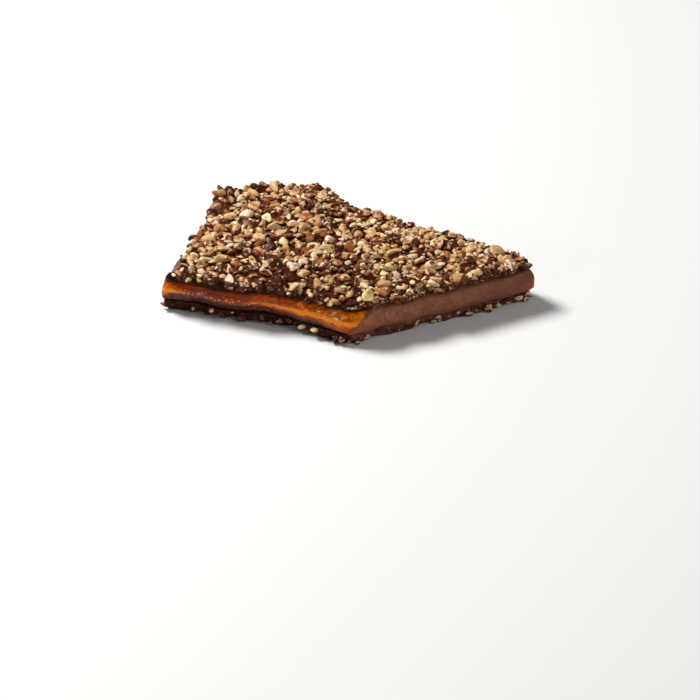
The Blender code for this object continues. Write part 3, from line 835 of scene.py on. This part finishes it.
top_rows = top_coat_rows()
top_chocolate = shell("top_chocolate", top_rows, chocolate_material)
broken_mask = np.zeros(top_rows.shape[:2])
first_side = len(FOOT_SHARES)
first_over = first_side + SIDE_ROWS
broken_mask[first_side:first_over] = 0.8 * on_sides(LEFT_SIDE, 12) + 0.45 * on_sides(SMEARED_SIDE, 8)
inner_rows = top_rows[first_over:, :, :2]
bare = in_margin(inner_rows.reshape(-1, 2)).reshape(inner_rows.shape[:2]) * (inner_rows[..., 0] < 0)
broken_mask[first_over:] = 0.85 * smooth_step(bare, 0.05, 0.4)
paint(top_chocolate, "broken", broken_mask)
# Painted shade: the top coat's edge over the clean side is darkened almost to black.
painted_shade_mask = np.zeros(top_rows.shape[:2])
painted_shade_mask[first_side:first_over + 2] = 0.9 * on_sides(CLEAN_SIDE, 8)
paint(top_chocolate, "painted_shade", painted_shade_mask)
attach(top_chocolate, "root")
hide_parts("top_coat")

# The rim nuts. Bits of the same nuts that were on the line of the break. They are held by the coat's broken
# edge and overhang the toffee, most of all above the clean side.

RIM_BITS = 115
RIM_BIT_LENGTH = (1.1, 2.7)
CROWDED_BEFORE = -14
rim_weight = 0.05 + on_sides(CLEAN_SIDE, 8) * (1 + 0.8 * (outline_head[:, 0] < CROWDED_BEFORE))
rim_weight += 0.8 * on_sides(SMEARED_SIDE, 8)
rng = np.random.default_rng(311)
rim_place = rng.choice(len(rim_weight), RIM_BITS, p=rim_weight / rim_weight.sum())
rim_row = first_side + rng.integers(SIDE_ROWS // 2, SIDE_ROWS + 2, RIM_BITS)
rim_centres = top_rows[rim_row, rim_place].copy()
rim_frames = [nut_frame(length, rng) for length in rng.uniform(*RIM_BIT_LENGTH, RIM_BITS)]
rim_sizes, rim_turns = [np.array(part) for part in zip(*rim_frames)]
rim_corners, rim_dents = chopped(small_ball, rim_sizes, rim_turns, 313)
rim_centres[:, 2] = np.minimum(rim_centres[:, 2], TOP_CEILING - rim_corners[..., 2].max(axis=1))
rim_nuts = bits("rim_nuts", rim_corners, rim_centres, small_triangles, nut_material)
paint_bits(rim_nuts, rim_corners, rim_dents, rim_centres, DRY, 317, coated_share=0.4)
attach(rim_nuts, "root")

# The crumbs. What the chopping left over: grains and splinters of nut, and flakes of chocolate. They lie in
# the gaps and on the larger bits, and stick all along the coat's broken edge.

TOP_CRUMBS = 1100
EDGE_CRUMBS = 900
crumb_ball, crumb_triangles = ball(1)


def crumbs(count, seed, smallest=0.4, largest=1.7, lean=0.4):
    """Corners of small bits about their own centres, most of them near the smallest size."""
    rng = np.random.default_rng(seed)
    length = smallest + (largest - smallest) * rng.random(count) ** 2.2
    sizes = np.column_stack([np.ones(count), rng.uniform(0.55, 0.95, count), rng.uniform(0.4, 0.8, count)])
    sizes *= length[:, None] / 2
    turns = np.array([
        Euler((*rng.normal(0, lean, 2), rng.uniform(0, 2 * math.pi))).to_matrix() for _ in range(count)
    ])
    return chopped(crumb_ball, sizes, turns, seed + 1, cuts=4)


def landing(pieces, spots):
    """Heights at which these spots, seen from above, first meet the pieces' faces."""
    points, faces, before = [], [], 0
    for piece in pieces:
        mesh = piece.data
        mesh.calc_loop_triangles()
        places = np.zeros(3 * len(mesh.vertices))
        mesh.vertices.foreach_get("co", places)
        corners = np.zeros(3 * len(mesh.loop_triangles), dtype=int)
        mesh.loop_triangles.foreach_get("vertices", corners)
        points.append(places.reshape(-1, 3))
        faces.append(corners.reshape(-1, 3) + before)
        before += len(mesh.vertices)
    tree = BVHTree.FromPolygons(np.concatenate(points).tolist(), np.concatenate(faces).tolist())
    starts = placed(np.column_stack([spots, np.full(len(spots), 50.0)]))
    hits = (tree.ray_cast(Vector(start), Vector((0, 0, -1)))[0] for start in starts)
    return np.array([hit.z / MM if hit else TOP_COAT_FOOT for hit in hits])


rng = np.random.default_rng(211)
crumb_side = rng.integers(0, len(outline_head), 2 * TOP_CRUMBS)
crumb_reach = np.linalg.norm(outline_head[crumb_side], axis=1)
crumb_share = np.sqrt(rng.random(2 * TOP_CRUMBS)) * (1 - 1.2 / crumb_reach)
crumb_spots = outline_head[crumb_side] * crumb_share[:, None]
crumb_spots = crumb_spots[in_margin(crumb_spots) < np.where(crumb_spots[:, 0] > 0, 0.4, 0.12)][:TOP_CRUMBS]
flat_corners, flat_dents = crumbs(TOP_CRUMBS, 221)
low, high = flat_corners[..., 2].min(axis=1), flat_corners[..., 2].max(axis=1)
crumb_ground = landing((top_chocolate, large_nuts, small_nuts, rim_nuts), crumb_spots)
crumb_heights = np.minimum(crumb_ground - low - 0.45 * (high - low), TOP_CEILING - high)
flat_centres = np.column_stack([crumb_spots, crumb_heights])

edge_weight = 0.22 + 1.0 * on_sides(SMEARED_SIDE, 8) + 0.3 * on_sides((7, 8, 9, 10, 11), 8)
edge_weight -= 0.2 * on_sides(LEFT_SIDE + TIP, 8)
edge_weight = np.clip(edge_weight, 0.01, None)
edge_place = rng.choice(len(edge_weight), EDGE_CRUMBS, p=edge_weight / edge_weight.sum())
edge_row = first_side + (SIDE_ROWS - 1) * np.sqrt(rng.random(EDGE_CRUMBS))
edge_row = np.minimum(edge_row.astype(int) + 1, first_side + SIDE_ROWS)
edge_centres = top_rows[edge_row, edge_place]
edge_corners, edge_dents = crumbs(EDGE_CRUMBS, 241, 0.35, 1.5, 1.2)
crumb_corners = np.concatenate([flat_corners, edge_corners])
crumb_centres = np.concatenate([flat_centres, edge_centres])
top_crumbs = bits("top_crumbs", crumb_corners, crumb_centres, crumb_triangles, nut_material)
on_chocolate = crumb_centres[:, 2] < top_surface(*crumb_centres[:, :2].T) + 0.5
paint_bits(
    top_crumbs, crumb_corners, np.concatenate([flat_dents, edge_dents]), crumb_centres, DRY, 231,
    tone=0.40, coated_share=0.38, skin_share=0.25, may_coat=on_chocolate,
)
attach(top_crumbs, "root")

# The base coat. The same chocolate poured under the slab and broken with it, so its edge is rough, and its
# underside is lumpy where it set on what lay below.

BASE_COAT_HEAD = TOFFEE_FOOT - LAYER_GAP
UNDERSIDE_MEAN = 0.15
UNDERSIDE_WAVES = ((19.0, 0.7), (9.0, 0.3))
UNDERSIDE_HIGHEST = 1.3
UNDERSIDE_SEED, BASE_EDGE_SEED = 3, 29
UNDER_ROWS, BASE_LEVELS = 60, 12


def underside(x, y):
    """Broad lumps hanging from the base coat, flattened where they rest."""
    return np.clip(UNDERSIDE_MEAN + rippled(x, y, UNDERSIDE_WAVES, UNDERSIDE_SEED), 0, UNDERSIDE_HIGHEST)


def base_coat_rows():
    """Rows from the middle of the lumpy underside out to the broken edge, up it, and in over the head."""
    head = coat_outline(0, BASE_EDGE_SEED)
    normal = outward(head)
    rows = []
    for share in np.linspace(0.05, 0.97, UNDER_ROWS):
        ring = (head - normal * 0.6) * share
        points = np.column_stack([ring, underside(*ring.T)])
        lumps = 0.10 * grain(points, 1.5, 91) + 0.05 * grain(points, 0.6, 92) + 0.08
        points[:, 2] = np.maximum(points[:, 2] + lumps * smooth_step(points[:, 2], 0, 0.3), 0)
        rows.append(points)
    for level in np.linspace(0, 1, BASE_LEVELS):
        drawn_in = 0.6 - 0.5 * smooth_step(level, 0.0, 0.4) - 0.1 * smooth_step(level, 0.4, 1.0)
        ring = head - normal * drawn_in
        low = underside(*ring.T)
        points = np.column_stack([ring, low + level * (BASE_COAT_HEAD - low)])
        rough = 0.2 * grain(points, (1.9, 1.9, 1.2), 93) + 0.12 * grain(points, 0.7, 94)
        points[:, :2] += normal * (rough * math.sin(math.pi * level))[:, None]
        rows.append(points)
    rows.extend(np.column_stack([head * share, np.full(len(head), BASE_COAT_HEAD)]) for share in (0.9, 0.4))
    return np.array(rows)


base_rows = base_coat_rows()
base_chocolate = shell("base_chocolate", base_rows, chocolate_material)
# Broken chocolate along the smeared side's edge, and painted shade along the clean side's.
for name, strength, side in (("broken", 0.5, SMEARED_SIDE), ("painted_shade", 0.6, CLEAN_SIDE)):
    mask = np.zeros(base_rows.shape[:2])
    mask[UNDER_ROWS:UNDER_ROWS + BASE_LEVELS] = strength * on_sides(side, 8)
    paint(base_chocolate, name, mask)
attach(base_chocolate, "root")
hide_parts("base_coat")

# The base nuts. Bits of the same nuts pressed into the base coat from below and along its broken edge.
# Those that the solid has too come first, then smaller ones between them.

UNDER_NUTS, UNDER_MORE = 36, 260
EDGE_NUTS, EDGE_MORE = 36, 150
EDGE_NUT_LENGTH, EDGE_MORE_LENGTH = (1.5, 2.6), (0.6, 2.0)
NUT_CLEARANCE = 0.05
UNDER_SEED, EDGE_SEED = 707, 1303


def held_between(corners, centre_height, floor, ceiling):
    """A bit's corners squashed, and its centre shifted, so that it lies between two heights."""
    low, high = corners[:, 2].min(), corners[:, 2].max()
    squash = min(1, (ceiling - floor) / (high - low))
    corners[:, 2] *= squash
    return min(max(centre_height, floor - squash * low), ceiling - squash * high)


base_lengths = nut_lengths(UNDER_NUTS + UNDER_MORE)
base_spots = spread(base_lengths, UNDER_SEED)
base_sizes, base_turns = nut_frames(base_lengths, UNDER_SEED)
rng = np.random.default_rng(EDGE_SEED)
edge = coat_outline(0, BASE_EDGE_SEED)[::FINE_STEPS]
edge_spots, edge_heights, edge_frames = [], [], []
ceiling = BASE_COAT_HEAD - NUT_CLEARANCE
for k in range(EDGE_NUTS + EDGE_MORE):
    if k < EDGE_NUTS:
        length = rng.uniform(*EDGE_NUT_LENGTH)
        x, y = edge[int((k + rng.random()) / EDGE_NUTS * len(edge))]
    else:
        length = rng.uniform(*EDGE_MORE_LENGTH)
        x, y = edge[rng.integers(0, len(edge))]
    edge_frames.append(nut_frame(length, rng))
    edge_spots.append((x, y))
    edge_heights.append(rng.uniform(underside(x, y) + length / 4, ceiling - length / 4))
edge_sizes, edge_turns = [np.array(part) for part in zip(*edge_frames)]
base_sizes, base_turns = np.concatenate([base_sizes, edge_sizes]), np.concatenate([base_turns, edge_turns])
base_corners, base_dents = chopped(small_ball, base_sizes, base_turns, 751)
base_centres = np.zeros((len(base_corners), 3))
for k, corners in enumerate(base_corners):
    low, high = corners[:, 2].min(), corners[:, 2].max()
    if k < len(base_spots):
        spot = base_spots[k]
        height = underside(*spot) - low - (1 - NUT_SUNK) * (high - low)
    else:
        spot = edge_spots[k - len(base_spots)]
        height = edge_heights[k - len(base_spots)]
    base_centres[k] = (*spot, held_between(corners, height, NUT_CLEARANCE, ceiling))
base_nuts = bits("base_nuts", base_corners, base_centres, small_triangles, nut_material)
paint_bits(base_nuts, base_corners, base_dents, base_centres, DRY, 771, tone=0.2, coated_share=0.42)
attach(base_nuts, "root")

# The setting. A pale floor, one large soft light from above and behind on the left, weaker ones in front,
# and a camera at the photograph's angle and distance. None of it is part of the sweet.

FLOOR_HALF = 3.0
floor_material, _, shader, _ = new_finish("pale_floor")
shader["Base Color"].default_value = (0.80, 0.80, 0.795, 1)
shader["Roughness"].default_value = 0.6
floor_mesh = bpy.data.meshes.new("floor")
floor_corners = [(x * FLOOR_HALF, y * FLOOR_HALF, 0) for x, y in ((-1, -1), (1, -1), (1, 1), (-1, 1))]
floor_mesh.from_pydata(floor_corners, [], [(0, 1, 2, 3)])
floor_mesh.materials.append(floor_material)
linked("floor", floor_mesh)


def soft_light(name, azimuth, elevation, distance, size, power, colour=(1, 1, 1)):
    """A square light aimed at the origin from a distance, in a direction given as degrees round from the
    front and degrees up."""
    light = bpy.data.lights.new(name, "AREA")
    light.shape = "SQUARE"
    light.size = size
    light.energy = power
    light.color = colour
    lamp = linked(name, light)
    a, e = math.radians(azimuth), math.radians(elevation)
    lamp.location = Vector((math.sin(a) * math.cos(e), -math.cos(a) * math.cos(e), math.sin(e))) * distance
    lamp.rotation_euler = lamp.location.to_track_quat("Z", "Y").to_euler()


soft_light("key", -118, 50, 0.7, 0.2, 7.2, (1.0, 0.985, 0.96))
soft_light("fill", 62, 32, 0.9, 0.4, 2.2)
soft_light("glint", -42, 24, 0.7, 0.03, 0.3)

world = bpy.data.worlds.new("studio")
world.use_nodes = True
world.node_tree.nodes["Background"].inputs["Color"].default_value = (1, 1, 1, 1)
world.node_tree.nodes["Background"].inputs["Strength"].default_value = 0.09
bpy.context.scene.world = world
bpy.context.scene.view_settings.view_transform = "Standard"

PHOTO_WIDTH = 700
MM_PER_PIXEL = 0.2186
CAMERA_DISTANCE = 600.0
CAMERA_ELEVATION = math.radians(35)
CAMERA_AIM = placed(np.array([0.41, -35.0, 5.0]))

camera_data = bpy.data.cameras.new("camera")
camera_data.sensor_width = 36.0
camera_data.lens = 36.0 * CAMERA_DISTANCE / (PHOTO_WIDTH * MM_PER_PIXEL)
camera_data.clip_start = 0.05
camera_data.clip_end = 20.0
camera = linked("camera", camera_data)
back = Vector((0, -math.cos(CAMERA_ELEVATION), math.sin(CAMERA_ELEVATION)))
camera.location = Vector(CAMERA_AIM) + back * CAMERA_DISTANCE * MM
camera.rotation_euler = back.to_track_quat("Z", "Y").to_euler()
bpy.context.scene.camera = camera
